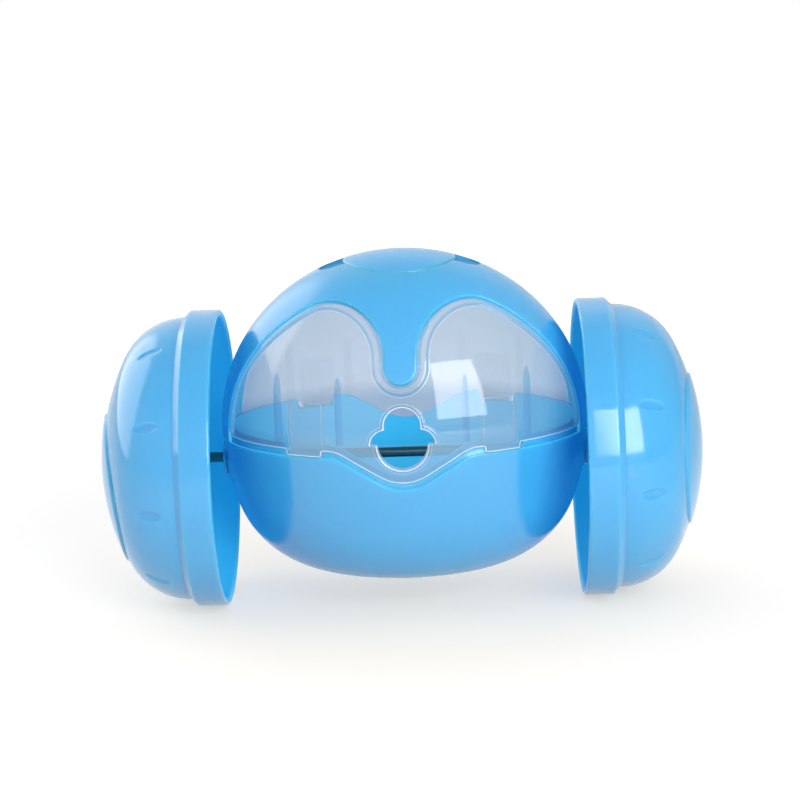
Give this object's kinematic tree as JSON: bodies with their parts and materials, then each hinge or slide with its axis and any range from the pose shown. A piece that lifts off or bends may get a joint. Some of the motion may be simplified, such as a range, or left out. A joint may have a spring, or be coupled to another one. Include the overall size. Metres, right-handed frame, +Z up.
{
  "type": "treat dispensing car toy",
  "caption": "Two-wheeled rolling treat toy: an egg-shaped hollow body with clear windows and an outlet hangs from a steel axle between two bowl-shaped wheels.",
  "frame": {"origin": "on the floor under the middle of the axle", "axes": "+X along the axle to the right, -Y towards the treat outlet, +Z up"},
  "size_m": [0.1718, 0.085, 0.1013],
  "materials": {
    "blue_plastic": "smooth moulded, glossy",
    "clear_plastic": "clear, slightly frosted",
    "axle_steel": "dark drawn rod",
    "weight_steel": "plain cast disc"
  },
  "bodies": {
    "body": {"lower_shell": "blue_plastic", "upper_shell": "blue_plastic", "front_window": "clear_plastic", "rear_window": "clear_plastic", "left_bush": "blue_plastic", "right_bush": "blue_plastic", "counterweight": "weight_steel", "weight_cover": "blue_plastic", "cover_screws": "axle_steel"},
    "wheelset": {"axle": "axle_steel", "left_wheel": "blue_plastic", "right_wheel": "blue_plastic"},
    "lid": {"fill_lid": "blue_plastic"}
  },
  "joints": [
    {"name": "wheelset_spin", "type": "hinge", "parent": "body", "child": "wheelset", "pos_m": [0, 0, 0.0425], "axis": [1, 0, 0], "continuous": true},
    {"name": "lid_lift", "type": "slide", "parent": "body", "child": "lid", "axis": [0, 0, 1], "range_m": [0, 0.014]}
  ]
}
